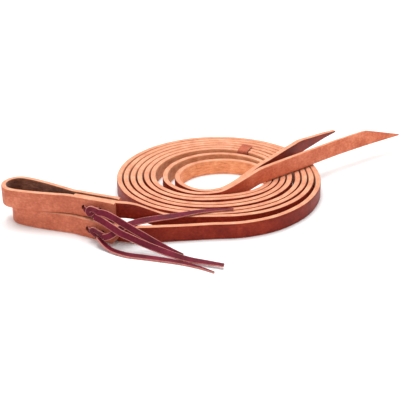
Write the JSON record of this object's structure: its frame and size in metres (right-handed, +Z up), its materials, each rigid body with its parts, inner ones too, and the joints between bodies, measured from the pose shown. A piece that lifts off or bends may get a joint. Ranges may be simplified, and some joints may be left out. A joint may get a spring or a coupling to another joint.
{
  "type": "leather split reins",
  "caption": "Pair of leather split reins wound together into a flat coil, with folded water loops tied on by leather laces and long pointed free ends.",
  "frame": {"origin": "middle of the coil on the surface that it lies on", "axes": "+X along the longest side from the water loops towards the free ends, -Y to the side the laces are knotted on, +Z up"},
  "size_m": [0.4205, 0.2806, 0.0385],
  "materials": {
    "rein_leather": "oiled russet harness leather, smooth grain outside, pale cut edges and flesh side",
    "loop_leather": "russet harness leather, grain side out, fuzzy flesh side in the bight",
    "lace_leather": "burgundy oil-tanned lace with pale cut edges",
    "keeper_leather": "reddish thin leather strip"
  },
  "bodies": {
    "coil": {"rein_a_coil": "rein_leather", "rein_b_coil": "rein_leather", "rein_a_lead": "rein_leather", "rein_b_lead": "rein_leather", "rein_a_rise": "rein_leather", "rein_b_rise": "rein_leather", "keeper_strip": "keeper_leather"},
    "loop_lower": {"water_loop_lower": "loop_leather", "rein_a_tie_end": "rein_leather", "lace_knot_lower": "lace_leather"},
    "loop_upper": {"water_loop_upper": "loop_leather", "rein_b_tie_end": "rein_leather", "lace_knot_upper": "lace_leather"},
    "tip_a": {"rein_a_tip": "rein_leather"},
    "tip_b": {"rein_b_tip": "rein_leather"},
    "tail_upper_back": {"lace_tail_upper_back": "lace_leather"},
    "tail_upper_front": {"lace_tail_upper_front": "lace_leather"},
    "tail_lower_front": {"lace_tail_lower_front": "lace_leather"},
    "tail_lower_back": {"lace_tail_lower_back": "lace_leather"}
  },
  "joints": [
    {"name": "loop_lower_sway", "type": "hinge", "parent": "coil", "child": "loop_lower", "pos_m": [-0.098, -0.1032, 0.0095], "axis": [0, 0, 1], "range_deg": [-6, 0]},
    {"name": "loop_upper_sway", "type": "hinge", "parent": "coil", "child": "loop_upper", "pos_m": [-0.1, -0.0925, 0.029], "axis": [0, 0, 1], "range_deg": [-6, 0]},
    {"name": "tip_a_sway", "type": "hinge", "parent": "coil", "child": "tip_a", "pos_m": [0.0408, -0.0166, 0.0245], "axis": [0, 0, 1], "range_deg": [-10, 6]},
    {"name": "tip_b_sway", "type": "hinge", "parent": "coil", "child": "tip_b", "pos_m": [0.0444, -0.0015, 0.0245], "axis": [0, 0, 1], "range_deg": [-6, 10]},
    {"name": "tail_upper_back_swing", "type": "hinge", "parent": "loop_upper", "child": "tail_upper_back", "pos_m": [-0.118, -0.1028, 0.0315], "axis": [0, 0, 1], "range_deg": [0, 4]},
    {"name": "tail_upper_front_swing", "type": "hinge", "parent": "loop_upper", "child": "tail_upper_front", "pos_m": [-0.121, -0.1024, 0.026], "axis": [0, 0, 1], "range_deg": [-10, 0]},
    {"name": "tail_lower_front_swing", "type": "hinge", "parent": "loop_lower", "child": "tail_lower_front", "pos_m": [-0.118, -0.1096, 0.008], "axis": [0, 0, 1], "range_deg": [-15, 0]},
    {"name": "tail_lower_back_swing", "type": "hinge", "parent": "loop_lower", "child": "tail_lower_back", "pos_m": [-0.113, -0.1134, 0.0105], "axis": [0, 0, 1], "range_deg": [-3, 0]}
  ]
}
